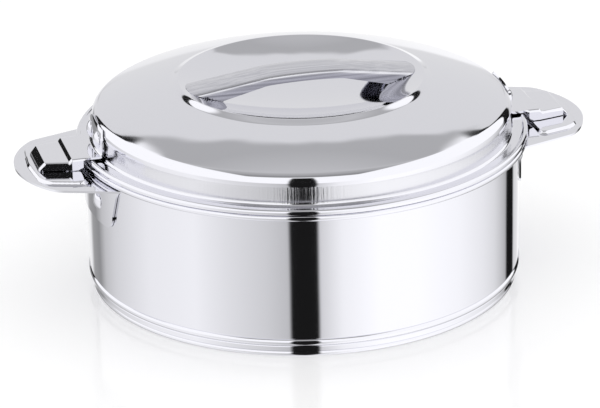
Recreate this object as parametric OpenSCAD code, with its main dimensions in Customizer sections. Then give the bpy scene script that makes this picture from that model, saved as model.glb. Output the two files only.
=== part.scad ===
// Insulated serving casserole with a lift-off lid, pressed and riveted from stainless sheet.
// Millimetres. Origin at the centre of the foot ring, +Z up, body handles along X.

/* [Body] */
// Radius of the outer wall
wall_r = 120; // [90:1:150]
// Height of the rim's flat top above the table
rim_z = 82.9; // [60:0.1:110]
// How far the rolled rim stands out from the wall
rim_out = 5.2; // [4:0.1:8]
// Width of the foam ring between the wall and the bowl's top
foam_w = 13; // [9:0.5:20]
// How much the bowl narrows towards its floor
bowl_taper = 3; // [0:0.5:8]
// Top of the bowl's floor
bowl_floor_z = 14; // [10:0.5:24]
// Corner radius inside the bowl
bowl_corner_r = 12; // [6:0.5:20]

/* [Foot] */
// Height of the seam between wall and foot cap
seam_z = 6.6; // [4:0.1:12]
// How far the foot cap's upper ridge lies inside the wall
cap_in = 0.6; // [0.2:0.1:2]
// How far the inside of the standing ring lies inside the wall
stand_in = 13; // [9:0.5:30]
// Height of the raised centre of the base
base_lift = 2.2; // [1:0.1:5]

/* [Sheet] */
// Drawn sheet of shells, lid and base
sheet = 0.5; // [0.4:0.05:0.8]
// Pressed sheet of the handles and brackets
plate_t = 1.2; // [0.8:0.1:2]
// Sheet of the strap handle
strap_t = 1.0; // [0.8:0.1:1.6]

/* [Lid] */
// Height of the recess rim, the highest ring of the dome, above the body's rim
crest_h = 32.7; // [26:0.1:45]
// Distance from the shoulder's brow in to that ring
dome_w = 44.2; // [30:0.1:60]
// Depth of the middle of the recess below its rim
dish_depth = 13.1; // [9:0.1:18]
// Rise of the recess floor is the radius squared over this
dish_curve = 600; // [400:10:1200]
// Radius in section of the recess's border, which curves up to its rim
border_r = 27; // [15:0.5:40]
// Distance from the recess rim out to where the dome starts
dome_out = 4.7; // [3:0.1:8]
// Drop from the recess rim to there
dome_drop = 1.9; // [1:0.1:3]
// How far inside the wall the dome turns down into its shoulder
brow_in = 8; // [6:0.5:12]
// Radius of the shoulder in section
shoulder_r = 6; // [3:0.5:9]
// Height of the lid's flat rim flange above the body's rim
flange_up = 2.3; // [2.1:0.1:4]
// How far the lid's rolled edge stays inside the body's rim
lid_in = 0.2; // [0.1:0.1:1]
// Space between the bowl and the plug on the lid's underside
plug_space = 1.7; // [1.2:0.1:4]
// Depth of the plug below the body's rim
plug_depth = 5.9; // [3:0.1:12]

/* [Strap handle] */
// Width of the strap
strap_w = 22; // [16:0.5:30]
// Highest point of the strap above the recess rim
strap_up = 6.2; // [3:0.1:14]
// Height of the strap's turned-down sides in the middle
strap_h = 5.5; // [3:0.1:9]
// Height of those sides at the strap's ends
strap_end_h = 9.5; // [6:0.1:12]
// Radius of the long middle bow
bow_r = 300; // [150:10:600]
// Slope where the bow ends
bow_deg = 3.6; // [1:0.1:6]
// Radius of the bend down to the legs
knee_r = 50; // [20:1:90]
// Slope of the legs
leg_deg = 10.5; // [6:0.5:25]
// How far inside the recess rim the legs are cut at most; the recess floor ends them first
strap_in = 2; // [1.5:0.1:4]

/* [Body handles] */
// How far the top of the handle's flat margin lies below the rim
ear_drop = 3.7; // [3.5:0.1:8]
// Reach of the handle from the pot's wall
ear_out = 41; // [30:0.5:60]
// Half width of the handle at the pot wall
ear_half = 48; // [30:0.5:60]
// How much each side narrows per millimetre outwards
ear_taper = 0.357; // [0:0.01:0.6]
// Radius of the handle's rounded tip
ear_tip_r = 56; // [40:1:90]
// Radius of its two outer corners
ear_corner_r = 14; // [6:0.5:20]
// Height of the raised panel
panel_h = 1.6; // [0.8:0.1:3]
// Half width of the mounting flange on the wall
foot_half = 42; // [25:0.5:46]
// Height of the mounting flange
foot_h = 28; // [18:0.5:40]
// Sideways distance of a rivet from the handle's middle
ear_rivet_y = 19.5; // [10:0.5:32]
// How far those rivets lie below the handle's flat margin
ear_rivet_drop = 16; // [10:0.1:22]

/* [Lid brackets] */
// Half width of the bracket at the lid
tongue_half = 18; // [12:0.5:24]
// Half width at its outer end
bracket_end_half = 14.5; // [10:0.5:20]
// Height of the shelf above the body's rim
shelf_up = 4.7; // [4.4:0.1:8]
// Step down from the shelf to the outer part
tread_step = 1.8; // [1:0.1:3]
// Reach of the outer part's flat beyond the body's rim
tread_out = 21.8; // [15:0.1:30]
// Sideways distance of a rivet from the bracket's middle
bracket_rivet_y = 9.2; // [7:0.1:12]
// How far those rivets lie below the middle of the shoulder's bend
bracket_rivet_drop = 2.4; // [1:0.1:4]

/* [Rivets] */
// Radius of a body handle rivet's head
ear_head_r = 5; // [3:0.1:7]
// Height of that head
ear_head_h = 2.2; // [1:0.1:3]
// Radius of a bracket rivet's head
bracket_head_r = 4.8; // [3:0.1:6]
// Height of that head
bracket_head_h = 2.1; // [1:0.1:3]
// Radius of every rivet's shank
shank_r = 2; // [1.5:0.1:3]

/* [Clearances] */
// Space round each rivet shank
rivet_clear = 0.1; // [0.05:0.05:0.3]
// Space between foam and steel
foam_gap = 0.3; // [0.2:0.05:0.6]
// Space between two nested pressings
seat_gap = 0.3; // [0.2:0.05:0.5]
// Height of the closed lid above the rim
lid_gap = 0.2; // [0.1:0.05:0.5]

/* [Node] */
// Piece to draw

/* [Hidden] */
$fn = 180;

steel = "#c9cbd1";
steel_dark = "#b4b6bd";
foam = "#e9e2c4";

// Levels and radii that follow from the sizes above
rim_r = wall_r + rim_out;
bowl_r = wall_r - foam_w;
cap_r = wall_r - cap_in;
stand_r_in = wall_r - stand_in;
brow_r = wall_r - brow_in;
crest_r = brow_r - dome_w;
dome_r = crest_r + dome_out;
strap_end_r = crest_r - strap_in;
lid_r = rim_r - lid_in;
plug_r = bowl_r - plug_space;
ear_reach = wall_r + ear_out;
tread_end = rim_r + tread_out;
crest_z = rim_z + crest_h;
dome_z = crest_z - dome_drop;
dish_z = crest_z - dish_depth;
strap_z = crest_z + strap_up;
flange_z = rim_z + flange_up;
ear_z = rim_z - ear_drop;
ear_rivet_z = ear_z - ear_rivet_drop;
shelf_z = rim_z + shelf_up;
tread_z = shelf_z - tread_step;
lid_under = rim_z + lid_gap;
hem_top = lid_under + sheet;
liner_z = hem_top + seat_gap;
plug_z = rim_z - plug_depth;
shell_flange_z = rim_z - sheet - seat_gap - sheet;
curl_r = 1.7;
curl_c = [rim_r - curl_r, rim_z - curl_r];
foot_r_in = wall_r + 0.25;
foot_r_out = foot_r_in + plate_t;
bend_r = 2;

// n + 1 points on a circle about c, from angle a0 to angle a1
function arc(c, r, a0, a1, n) =
    [for (i = [0:n]) c + r * [cos(a0 + (a1 - a0) * i / n), sin(a0 + (a1 - a0) * i / n)]];

function unit(v) = v / norm(v);

// Unit normal on the right of the way from a to b
function right_of(a, b) = [unit(b - a)[1], -unit(b - a)[0]];

// Mitred shift of point i of an open line by t to its right
function shifted(p, i, t) =
    let (
        n = len(p) - 1,
        before = right_of(p[max(i - 1, 0)], p[max(i, 1)]),
        after = right_of(p[min(i, n - 1)], p[min(i + 1, n)]),
        m = before + after
    )
    p[i] + m * (2 * t / (m * m));

function shift_line(p, t) = [for (i = [0:len(p) - 1]) shifted(p, i, t)];

function reversed(p) = [for (i = [len(p) - 1:-1:0]) p[i]];

// Closed outline of a sheet whose one side is the line p and whose thickness t lies to the right
function pressed(p, t) = concat(p, reversed(shift_line(p, t)));

// ---------------------------------------------------------------- body sections

// Outside of the shell from the turned-in hem to the flange under the rim
bead_c = [wall_r - 1.2, seam_z + 1.9];
neck_r = 2.5;
shell_line = concat(
    [[wall_r - 3.6, seam_z]],
    arc(bead_c, 2, -70, 62, 8),
    [[wall_r, seam_z + 4.2]],
    arc([wall_r + neck_r, shell_flange_z - neck_r], neck_r, 180, 90, 6),
    [[rim_r - curl_r, shell_flange_z]]
);

// Inside of the bowl from its middle to the end of the curled lip
bowl_base_r = bowl_r - bowl_taper;
bowl_line = concat(
    [[0, bowl_floor_z]],
    arc([bowl_base_r - bowl_corner_r, bowl_floor_z + bowl_corner_r], bowl_corner_r, -90, 0, 10),
    arc([bowl_r + 3, rim_z - 3], 3, 180, 90, 6),
    arc(curl_c, curl_r, 90, -110, 14)
);

// Outside of the foot cap from its seam flange to the middle of the base
cap_flange = 6.4;
cap_line = concat(
    [[cap_r - cap_flange, seam_z]],
    arc([cap_r - 1, seam_z - 1], 1, 90, 0, 4),
    [[cap_r, seam_z - 3], [cap_r - 0.9, seam_z - 3.9]],
    arc([cap_r - 2, 1.5], 1.5, 20, -90, 6),
    [[stand_r_in, 0], [stand_r_in - 3, base_lift], [0, base_lift]]
);

// ---------------------------------------------------------------- lid sections

lip_r = 1;
lip_c = [crest_r, crest_z - lip_r];

function dish_at(r) = dish_z + r * r / dish_curve;

function dish_slope_at(r) = atan(2 * r / dish_curve);

// Centre in section of a border that leaves the floor at radius r
function border_at(r) = [r, dish_at(r)] + border_r * [-sin(dish_slope_at(r)), cos(dish_slope_at(r))];

// How far that border would pass the rolled rim
function short_of_lip(r) = norm(lip_c - border_at(r)) - border_r - lip_r;

function settled(r, n) = n == 0 ? r : settled(r + short_of_lip(r), n - 1);

// Radius where the recess floor hands over to its border, which runs smoothly into the rolled rim
dish_edge = settled(crest_r - 16, 30);
dish_slope = dish_slope_at(dish_edge);
border_c = border_at(dish_edge);
border_deg = atan2(lip_c[0] - border_c[0], border_c[1] - lip_c[1]);

dome_a = 0.2126;
dome_b = 0.0021;

function dome_at(r) = dome_z - dome_a * (r - dome_r) - dome_b * (r - dome_r) * (r - dome_r);

brow_slope = atan(dome_a + 2 * dome_b * (brow_r - dome_r));
shoulder_c = [brow_r, dome_at(brow_r)] - shoulder_r * [sin(brow_slope), cos(brow_slope)];
skirt_r = shoulder_c[0] + shoulder_r;
toe_r = 2;
toe_c = [skirt_r + toe_r, flange_z + toe_r];
hem_c = [lid_r - 1.6, flange_z - 0.8];
neck_top = shoulder_c[1] - shoulder_r * sin(12);
neck_h = neck_top - flange_z - toe_r;
bracket_rivet_z = shoulder_c[1] - bracket_rivet_drop;

// Top of the recess floor and its border
dish_line = concat(
    [for (i = [0:9]) [dish_edge * i / 10, dish_at(dish_edge * i / 10)]],
    arc(border_c, border_r, -90 + dish_slope, -90 + border_deg, 10)
);

// Rolled recess rim, dome and shoulder, down to the neck
dome_line = concat(
    arc(lip_c, lip_r, 90 + border_deg - 10, 66, 5),
    [for (i = [0:10]) let (r = dome_r + (brow_r - dome_r) * i / 10) [r, dome_at(r)]],
    arc(shoulder_c, shoulder_r, 90 - brow_slope - 12, -12, 10)
);

// Skirt, flange and rolled edge, with the hem turned in under the liner
skirt_line = concat(
    [[skirt_r - 0.4, neck_top - 0.2 * neck_h], [skirt_r - 0.3, neck_top - 0.42 * neck_h]],
    arc(toe_c, toe_r, 180, 270, 5),
    [[hem_c[0] - 1.9, flange_z]],
    arc(hem_c, 1.6, 135, 0, 8),
    arc([lid_r - 0.6, lid_under + 0.6], 0.6, 0, -90, 3),
    [[lid_r - 3.6, lid_under]]
);

lid_line = concat(dish_line, dome_line, skirt_line);

// Underside of the liner from its middle to the flange held by the hem
liner_line = concat(
    [[0, plug_z]],
    arc([plug_r - 3, plug_z + 3], 3, -90, 0, 5),
    arc([plug_r + 1.5, liner_z - 1.5], 1.5, 180, 90, 4),
    [[lid_r - 1.8, liner_z]]
);

// ---------------------------------------------------------------- helpers for solids

module turned(points) {
    rotate_extrude()
        polygon(points);
}

// Sector of a turned section, centred on +X
module turned_sector(points, deg) {
    rotate([0, 0, -deg / 2])
        rotate_extrude(angle = deg)
            polygon(points);
}

// Domed rivet along +X: head seated at radius seat, tail inside at radius back
module rivet(seat, back, head_r, head_h) {
    ball = (head_r * head_r + head_h * head_h) / (2 * head_h);
    edge = asin(head_r / ball);
    rotate([0, 90, 0])
        rotate_extrude($fn = 72)
            polygon(concat(
                [[0, back - 1.5], [3.4, back - 1.5], [3.4, back], [shank_r, back], [shank_r, seat]],
                arc([0, seat + head_h - ball], ball, 90 - edge, 90, 8)
            ));
}

// Where the rivets go: angle from the handle's middle for a sideways distance
ear_rivet_deg = asin(ear_rivet_y / foot_r_out);
bracket_rivet_deg = asin(bracket_rivet_y / (skirt_r + seat_gap + plate_t));

// Holes through the wall and flange, or through the skirt and bracket, on the +X side
module rivet_holes(deg, z, r, x0, x1) {
    for (s = [-1, 1])
        rotate([0, 0, s * deg])
            translate([x0, 0, z])
                rotate([0, 90, 0])
                    cylinder(r = r, h = x1 - x0);
}

module both_sides() {
    children();
    rotate([0, 0, 180])
        children();
}

// ---------------------------------------------------------------- body pieces

module outer_shell() {
    color(steel)
        difference() {
            turned(pressed(shell_line, -sheet));
            both_sides()
                rivet_holes(ear_rivet_deg, ear_rivet_z, shank_r + rivet_clear, wall_r - 5, wall_r + 5);
        }
}

module inner_bowl() {
    color(steel)
        turned(pressed(bowl_line, sheet));
}

// Foam outline: 0.3 mm clear of the cap, shell and bowl all round
foam_in = sheet + foam_gap;
body_foam_line = concat(
    [[0, base_lift + foam_in], [cap_r - cap_flange - sheet, base_lift + foam_in]],
    [[cap_r - cap_flange - sheet, seam_z + foam_in], [wall_r - 2, seam_z + foam_in]],
    [[wall_r - foam_in, seam_z + 4.6], [wall_r - foam_in, rim_z - foam_in]],
    arc([bowl_r + 3, rim_z - 3], 3 - foam_in, 90, 180, 6),
    arc([bowl_base_r - bowl_corner_r, bowl_floor_z + bowl_corner_r],
        bowl_corner_r + foam_in, 0, -90, 10),
    [[0, bowl_floor_z - foam_in]]
);

module body_insulation() {
    color(foam)
        difference() {
            turned(body_foam_line);
            both_sides()
                rivet_holes(ear_rivet_deg, ear_rivet_z, 5, wall_r - 4.5, wall_r + 5);
        }
}

module base_cap() {
    color(steel_dark)
        turned(pressed(cap_line, sheet));
}

// ---------------------------------------------------------------- body handles

// Half width of the handle's straight side at distance x from the axis
function ear_side(x) = ear_half - ear_taper * (x - wall_r);

side_deg = atan(ear_taper);
tip_x = ear_reach - ear_tip_r;

// Centre of a corner of radius r: r inside the side line, and r inside the tip arc, both inset by d
function corner_c(r, d) =
    let (
        h = ear_side(0) - (r + d) / cos(side_deg),
        a = 1 + ear_taper * ear_taper,
        b = -2 * (tip_x + ear_taper * h),
        q = ear_tip_r - d - r,
        c = tip_x * tip_x + h * h - q * q,
        x = (-b + sqrt(b * b - 4 * a * c)) / (2 * a)
    )
    [x, h - ear_taper * x];

// Upper half of the outline from the side at x0 to the tip, inset by d
function ear_half_line(x0, r, d) =
    let (
        c = corner_c(r, d),
        t = atan2(c[1], c[0] - tip_x)
    )
    concat(
        [[x0, ear_side(x0) - d / cos(side_deg)]],
        arc(c, r, 90 - side_deg, t, 8),
        [for (i = [1:5]) [tip_x, 0] + (ear_tip_r - d) * [cos(t - t * i / 5), sin(t - t * i / 5)]]
    );

function mirrored(p) = [for (i = [len(p) - 2:-1:0]) [p[i][0], -p[i][1]]];

function ear_outline(x0, r, d) =
    let (h = ear_half_line(x0, r, d))
    concat(h, mirrored(h));

panel_x0 = rim_r + 1.6;
panel_side = 8.8;
panel_tip = 6.5;
panel_tip_r = 40;
panel_corner_r = 12;
panel_corner_x = ear_reach - panel_tip - panel_corner_r - 1.7;

// Raised panel as a boss that narrows upwards, its outline inset by d
module panel_boss(d, z0, z1) {
    lean = 0.6 * panel_h;
    hull() {
        for (s = [-1, 1]) {
            translate([panel_x0 + 4, s * (ear_side(panel_x0 + 4) - panel_side - 4), z0])
                cylinder(r1 = 4 - d, r2 = 4 - d - lean, h = z1 - z0, $fn = 48);
            translate([panel_corner_x, s * (ear_side(panel_corner_x) - panel_side - panel_corner_r), z0])
                cylinder(r1 = panel_corner_r - d, r2 = panel_corner_r - d - lean, h = z1 - z0, $fn = 96);
        }
        intersection() {
            translate([ear_reach - panel_tip - panel_tip_r, 0, z0])
                cylinder(r1 = panel_tip_r - d, r2 = panel_tip_r - d - lean, h = z1 - z0, $fn = 180);
            translate([panel_corner_x, -ear_half, z0])
                cube([ear_reach, 2 * ear_half, z1 - z0]);
        }
    }
}

// Section of the mounting flange and the bend that carries it out into the plate
ear_bend_c = [foot_r_out + bend_r, ear_z - plate_t - bend_r];
ear_section = concat(
    [[foot_r_in, ear_z - foot_h]],
    arc(ear_bend_c, bend_r + plate_t, 180, 90, 6),
    [[ear_bend_c[0] + 1.5, ear_z], [ear_bend_c[0] + 1.5, ear_z - plate_t]],
    arc(ear_bend_c, bend_r, 90, 180, 6),
    [[foot_r_out, ear_z - foot_h]]
);

// Front view of the flange: sides narrowing downwards, rounded lower corners
foot_low = foot_half - 5;
foot_view = concat(
    [[-foot_half - 5, ear_z + 1], [-foot_half - 5, ear_z - 1.6], [-foot_half, ear_z - 5]],
    arc([-foot_low + 8, ear_z - foot_h + 8], 8, 180, 270, 8),
    arc([foot_low - 8, ear_z - foot_h + 8], 8, 270, 360, 8),
    [[foot_half, ear_z - 5], [foot_half + 5, ear_z - 1.6], [foot_half + 5, ear_z + 1]]
);

module ear() {
    color(steel)
        difference() {
            union() {
                intersection() {
                    turned_sector(ear_section, 54);
                    rotate([90, 0, 90])
                        linear_extrude(height = rim_r + 10)
                            polygon(foot_view);
                }
                difference() {
                    translate([0, 0, ear_z - plate_t])
                        linear_extrude(height = plate_t)
                            polygon(ear_outline(ear_bend_c[0] - 16, ear_corner_r, 0));
                    translate([0, 0, ear_z - 5])
                        cylinder(r = ear_bend_c[0], h = 10);
                }
                panel_boss(0, ear_z - 0.2, ear_z + panel_h);
            }
            panel_boss(plate_t * 0.8, ear_z - plate_t - 0.5, ear_z + panel_h - plate_t);
            rivet_holes(ear_rivet_deg, ear_rivet_z, shank_r + rivet_clear, wall_r - 5, wall_r + 5);
        }
}

module ear_right() {
    ear();
}

module ear_left() {
    rotate([0, 0, 180])
        ear();
}

module ear_rivet(side, deg) {
    color(steel_dark)
        rotate([0, 0, side + deg])
            translate([0, 0, ear_rivet_z])
                rivet(foot_r_out + 0.05, wall_r - sheet - 0.1, ear_head_r, ear_head_h);
}

module ear_rivet_right_front() {
    ear_rivet(0, -ear_rivet_deg);
}

module ear_rivet_right_rear() {
    ear_rivet(0, ear_rivet_deg);
}

module ear_rivet_left_front() {
    ear_rivet(180, ear_rivet_deg);
}

module ear_rivet_left_rear() {
    ear_rivet(180, -ear_rivet_deg);
}

// ---------------------------------------------------------------- lid pieces

module lid_top() {
    color(steel)
        difference() {
            turned(pressed(lid_line, sheet));
            both_sides()
                rivet_holes(bracket_rivet_deg, bracket_rivet_z, shank_r + rivet_clear,
                            skirt_r - 5, skirt_r + 5);
        }
}

module lid_liner() {
    color(steel_dark)
        turned(pressed(liner_line, -sheet));
}

lid_foam_line = concat(
    shift_line(concat(dish_line, dome_line), foam_in),
    [[skirt_r - foam_in - 0.5, shoulder_c[1] - 3], [skirt_r - foam_in - 0.5, liner_z + foam_in]],
    [[plug_r - foam_in, liner_z + foam_in], [plug_r - foam_in, plug_z + 3]],
    [[plug_r - 3, plug_z + foam_in], [0, plug_z + foam_in]]
);

module lid_insulation() {
    color(foam)
        difference() {
            turned(lid_foam_line);
            both_sides()
                rivet_holes(bracket_rivet_deg, bracket_rivet_z, 4.6, skirt_r - 4.4, skirt_r + 5);
        }
}

// ---------------------------------------------------------------- strap handle

// Half of the strap's section, inset by t: x is sideways, y is below the strap's top line
function strap_half(t, depth) =
    let (w = strap_w / 2)
    concat(
        [[0, -t], [w * 0.45, -0.35 - t]],
        arc([w - 2.4, -3.1], 2.4 - t, 78, 0, 5),
        [[w - t, -depth]]
    );

function strap_ring(t, depth) =
    let (h = strap_half(t, depth))
    concat(h, [for (i = [len(h) - 1:-1:1]) [-h[i][0], h[i][1]]]);

// Bow, knees and legs form one chain; the knees run a little thinner into their neighbours
bow_c = strap_z - bow_r;
bow_end = bow_r * [sin(bow_deg), cos(bow_deg)] + [0, bow_c];
knee_c = bow_end - knee_r * [sin(bow_deg), cos(bow_deg)];
knee_end = knee_c + knee_r * [sin(leg_deg), cos(leg_deg)];
leg_len = (strap_end_r - knee_end[0]) / cos(leg_deg) + 4;
lap = 0.02;
lap_deg = 0.5;

// Section swept round an axis along Y through c, over angles a0 to a1 from the vertical
module swept(c, r, a0, a1, t, depth) {
    translate([c[0], 0, c[1]])
        rotate([-90, 0, 0])
            rotate([0, 0, a0 - 90])
                rotate_extrude(angle = a1 - a0, $fn = 720)
                    polygon([for (p = strap_ring(t, depth)) [r + p[1], -p[0]]]);
}

module leg_run(t, depth) {
    translate([knee_end[0], 0, knee_end[1]])
        rotate([0, leg_deg, 0])
            rotate([90, 0, 90])
                linear_extrude(height = leg_len)
                    polygon(strap_ring(t, depth));
}

// Space below a leg: its sides deepen from strap_h at the knee to strap_end_h at the end
module below_leg() {
    translate([knee_end[0], 0, knee_end[1]])
        rotate([0, leg_deg, 0])
            translate([0, strap_w, 0])
                rotate([90, 0, 0])
                    linear_extrude(height = 2 * strap_w)
                        polygon([
                            [-1, -strap_h], [0, -strap_h], [leg_len - 4, -strap_end_h],
                            [leg_len + 1, -strap_end_h], [leg_len + 1, -40], [-1, -40]
                        ]);
}

module strap_run(t, depth) {
    swept([0, bow_c], bow_r, -bow_deg, bow_deg, t, depth);
    both_sides() {
        swept(knee_c, knee_r, bow_deg - lap_deg, leg_deg + lap_deg, t + lap, depth - lap);
        leg_run(t, depth + strap_end_h - strap_h);
    }
}

module lid_handle() {
    color(steel)
        difference() {
            intersection() {
                difference() {
                    strap_run(0, strap_h);
                    strap_run(strap_t, strap_h + 4);
                }
                translate([0, 0, dish_z - 5])
                    cylinder(r = strap_end_r, h = 40);
            }
            both_sides()
                below_leg();
            turned(concat(
                [[0, dish_z - 8]],
                [for (p = dish_line) p + [0, 0.15]],
                [[border_c[0] + border_r * sin(border_deg), dish_z - 8]]
            ));
        }
}

// ---------------------------------------------------------------- lid brackets

tongue_in = skirt_r + seat_gap;
tongue_out = tongue_in + plate_t;
tongue_bend = 1.6;
tongue_c = [tongue_out + tongue_bend, shelf_z + tongue_bend];
hug_r = shoulder_r + seat_gap;

// Section of the part that follows the lid: hugs the shoulder, drops down the skirt, turns out
tongue_section = concat(
    arc(shoulder_c, hug_r + plate_t, 42, 0, 5),
    arc(tongue_c, tongue_bend, 180, 270, 5),
    [[rim_r + 6.5, shelf_z], [rim_r + 6.5, shelf_z - plate_t]],
    arc(tongue_c, tongue_bend + plate_t, 270, 180, 5),
    arc(shoulder_c, hug_r, 0, 42, 5)
);

// Front view of that part: straight sides and a rounded top
tongue_view = concat(
    [[-tongue_half, shelf_z - 9]],
    arc([-tongue_half + 9, shoulder_c[1] - 3.5], 9, 180, 90, 8),
    arc([tongue_half - 9, shoulder_c[1] - 3.5], 9, 90, 0, 8),
    [[tongue_half, shelf_z - 9]]
);

// Side profile of the outer part: shelf, step, tread and the lip sloping down to the handle
step_x = rim_r + 7.4;
lip_low = ear_z + panel_h + 0.4;
tread_line = [
    [rim_r + 5, shelf_z],
    [step_x, shelf_z],
    [step_x + 2, tread_z],
    [tread_end, tread_z],
    [tread_end + 3.4, lip_low + 0.9],
    [tread_end + 3.4, lip_low]
];

function bracket_side(x) =
    tongue_half - (tongue_half - bracket_end_half) * (x - step_x) / (tread_end - step_x);

module bracket_flange(s) {
    x0 = rim_r - 2;
    x1 = tread_end + 1.2;
    intersection() {
        translate([0, 0, lip_low - 5])
            linear_extrude(height = 30)
                polygon([
                    [x0, s * bracket_side(step_x)],
                    [step_x, s * bracket_side(step_x)],
                    [x1, s * bracket_side(x1)],
                    [x1, s * (bracket_side(x1) - plate_t)],
                    [step_x, s * (bracket_side(step_x) - plate_t)],
                    [x0, s * (bracket_side(step_x) - plate_t)]
                ]);
        translate([0, 50, 0])
            rotate([90, 0, 0])
                linear_extrude(height = 100)
                    polygon(concat(
                        [[x0, shelf_z], [step_x, shelf_z], [step_x + 2, tread_z]],
                        [[tread_end, tread_z], [tread_end + 3.6, lip_low], [x0, lip_low]]
                    ));
    }
}

module bracket() {
    color(steel)
        difference() {
            union() {
                intersection() {
                    turned_sector(tongue_section, 24);
                    rotate([90, 0, 90])
                        linear_extrude(height = rim_r + 10)
                            polygon(tongue_view);
                }
                intersection() {
                    translate([0, 50, 0])
                        rotate([90, 0, 0])
                            linear_extrude(height = 100)
                                polygon(pressed(tread_line, plate_t));
                    linear_extrude(height = shelf_z + 5)
                        polygon([
                            [rim_r, tongue_half],
                            [step_x, tongue_half],
                            [tread_end + 5, bracket_side(tread_end + 5)],
                            [tread_end + 5, -bracket_side(tread_end + 5)],
                            [step_x, -tongue_half],
                            [rim_r, -tongue_half]
                        ]);
                }
                difference() {
                    for (s = [-1, 1])
                        bracket_flange(s);
                    cylinder(r = rim_r + 1, h = shelf_z - plate_t);
                }
            }
            rivet_holes(bracket_rivet_deg, bracket_rivet_z, shank_r + rivet_clear,
                        skirt_r - 5, skirt_r + 5);
        }
}

module lid_bracket_right() {
    bracket();
}

module lid_bracket_left() {
    rotate([0, 0, 180])
        bracket();
}

module bracket_rivet(side, deg) {
    color(steel_dark)
        rotate([0, 0, side + deg])
            translate([0, 0, bracket_rivet_z])
                rivet(tongue_out + 0.05, skirt_r - sheet - 0.7, bracket_head_r, bracket_head_h);
}

module bracket_rivet_right_front() {
    bracket_rivet(0, -bracket_rivet_deg);
}

module bracket_rivet_right_rear() {
    bracket_rivet(0, bracket_rivet_deg);
}

module bracket_rivet_left_front() {
    bracket_rivet(180, bracket_rivet_deg);
}

module bracket_rivet_left_rear() {
    bracket_rivet(180, -bracket_rivet_deg);
}

// ---------------------------------------------------------------- assembly

outer_shell();
inner_bowl();
body_insulation();
base_cap();
ear_left();
ear_right();
ear_rivet_left_front();
ear_rivet_left_rear();
ear_rivet_right_front();
ear_rivet_right_rear();
lid_top();
lid_liner();
lid_insulation();
lid_handle();
lid_bracket_left();
lid_bracket_right();
bracket_rivet_left_front();
bracket_rivet_left_rear();
bracket_rivet_right_front();
bracket_rivet_right_rear();
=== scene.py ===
# Insulated serving casserole with a lift-off lid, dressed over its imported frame.
# Metres, in the part's own frame: origin at the centre of the foot ring, +Z up, handles along X.
import math

import bmesh
import bpy
import numpy as np
from mathutils import Matrix, Quaternion, Vector


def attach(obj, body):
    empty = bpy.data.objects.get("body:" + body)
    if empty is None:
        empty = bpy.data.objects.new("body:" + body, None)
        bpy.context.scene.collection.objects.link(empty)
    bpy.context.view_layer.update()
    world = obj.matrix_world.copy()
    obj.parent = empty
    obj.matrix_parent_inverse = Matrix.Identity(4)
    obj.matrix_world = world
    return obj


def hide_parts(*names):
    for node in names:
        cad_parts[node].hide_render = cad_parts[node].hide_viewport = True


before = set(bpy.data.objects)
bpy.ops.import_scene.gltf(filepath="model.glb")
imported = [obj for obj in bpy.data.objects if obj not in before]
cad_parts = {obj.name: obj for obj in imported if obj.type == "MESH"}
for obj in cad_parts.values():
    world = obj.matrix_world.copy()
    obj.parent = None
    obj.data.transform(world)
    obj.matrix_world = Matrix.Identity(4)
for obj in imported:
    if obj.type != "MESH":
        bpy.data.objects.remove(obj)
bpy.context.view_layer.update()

# ---------------------------------------------------------------- studio
# A product photographer's white table: a long lens a little to the left of the pot's middle and a
# pale acrylic floor inside a tent of white cloth. The tent has a grey roof panel, a slit where the
# camera looks in and two dark flags behind, which draw the black lines on the polished steel.
scene = bpy.context.scene
scene.view_settings.view_transform = "Standard"

CAMERA_TURN, CAMERA_RISE, CAMERA_ROLL = np.radians([-14.0, 21.726, -1.083])
LOOK_AT = Vector((0, 0, 0.054))
DISTANCE = 1.92

camera = bpy.data.objects.new("camera", bpy.data.cameras.new("camera"))
scene.collection.objects.link(camera)
scene.camera = camera
camera.data.sensor_width = 36
camera.data.lens = 206.8
camera.data.shift_x = -0.0045
camera.data.shift_y = -0.0413
toward_camera = Vector((
    math.sin(CAMERA_TURN) * math.cos(CAMERA_RISE),
    -math.cos(CAMERA_TURN) * math.cos(CAMERA_RISE),
    math.sin(CAMERA_RISE),
))
aim = (-toward_camera).to_track_quat("-Z", "Y") @ Quaternion((0, 0, 1), CAMERA_ROLL)
camera.matrix_world = Matrix.Translation(LOOK_AT + toward_camera * DISTANCE) @ aim.to_matrix().to_4x4()


def linear(code):
    """An sRGB hex colour as linear red, green, blue and alpha: v / 12.92 when dark, else
    ((v + 0.055) / 1.055)^2.4."""
    v = np.array([int(code[i:i + 2], 16) for i in (0, 2, 4)]) / 255
    return (*np.where(v <= 0.04045, v / 12.92, ((v + 0.055) / 1.055) ** 2.4), 1.0)


def node(tree, kind, ins=None, stops=None, **settings):
    """Adds one node: settings are its own options, ins maps a socket to a value or an output, and stops
    fill a ramp."""
    made = tree.nodes.new(kind)
    for key, value in settings.items():
        setattr(made, key, value)
    for key, value in (ins or {}).items():
        if isinstance(value, bpy.types.NodeSocket):
            tree.links.new(value, made.inputs[key])
        else:
            made.inputs[key].default_value = value
    if stops:
        ends = made.color_ramp.elements
        for place, _ in stops[2:]:
            ends.new(place)
        for spot, (place, value) in zip(ends, sorted(stops)):
            spot.position = place
            spot.color = (value, value, value, 1)
    return made


def calc(tree, operation, *values):
    """One sum, product or other operation on up to three numbers or outputs."""
    return node(tree, "ShaderNodeMath", dict(enumerate(values)), operation=operation).outputs[0]


def ranged(tree, value, low, high, start=0.0, end=1.0):
    """A value carried in a straight line to low at start and high at end, and held there outside."""
    return node(tree, "ShaderNodeMapRange", {0: value, 1: start, 2: end, 3: low, 4: high}).outputs[0]


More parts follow.
